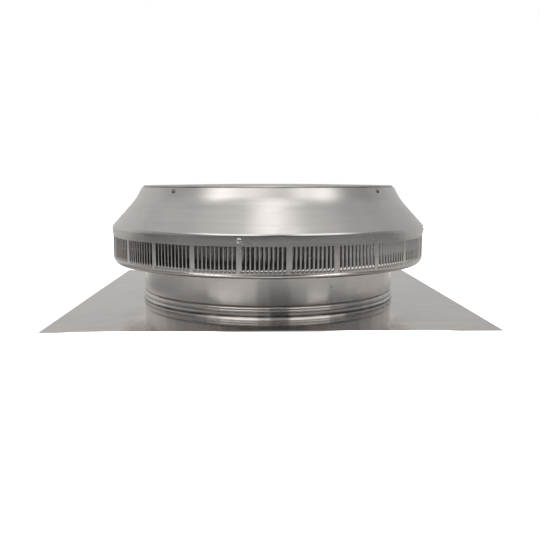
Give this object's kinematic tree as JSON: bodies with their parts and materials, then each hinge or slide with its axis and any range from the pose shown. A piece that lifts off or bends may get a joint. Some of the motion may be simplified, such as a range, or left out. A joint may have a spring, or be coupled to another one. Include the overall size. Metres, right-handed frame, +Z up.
{
  "type": "roof intake vent",
  "caption": "Low round louvred roof vent: square flashing with a short collar, a wide head whose louvre band lets air in all round, a cone cap and a crowned top plate.",
  "frame": {"origin": "centre of the throat on the roof plane, the underside of the flashing", "axes": "+Z up off the roof along the throat's axis, -Y to the front of the picture and +X to its right"},
  "size_m": [0.508, 0.508, 0.1601],
  "materials": {
    "flashing_sheet": "mill",
    "collar_sheet": "rolled mill",
    "spun_sheet": "spun satin",
    "louver_sheet": "mill",
    "top_sheet": "spun satin",
    "rivet": "bright"
  },
  "bodies": {
    "root": {"flashing": "flashing_sheet", "collar": "collar_sheet", "base_pan": "spun_sheet", "louver_band": "louver_sheet", "band_rivets": "rivet", "cone_cap": "spun_sheet", "top_plate": "top_sheet", "top_rivets": "rivet"}
  },
  "joints": []
}
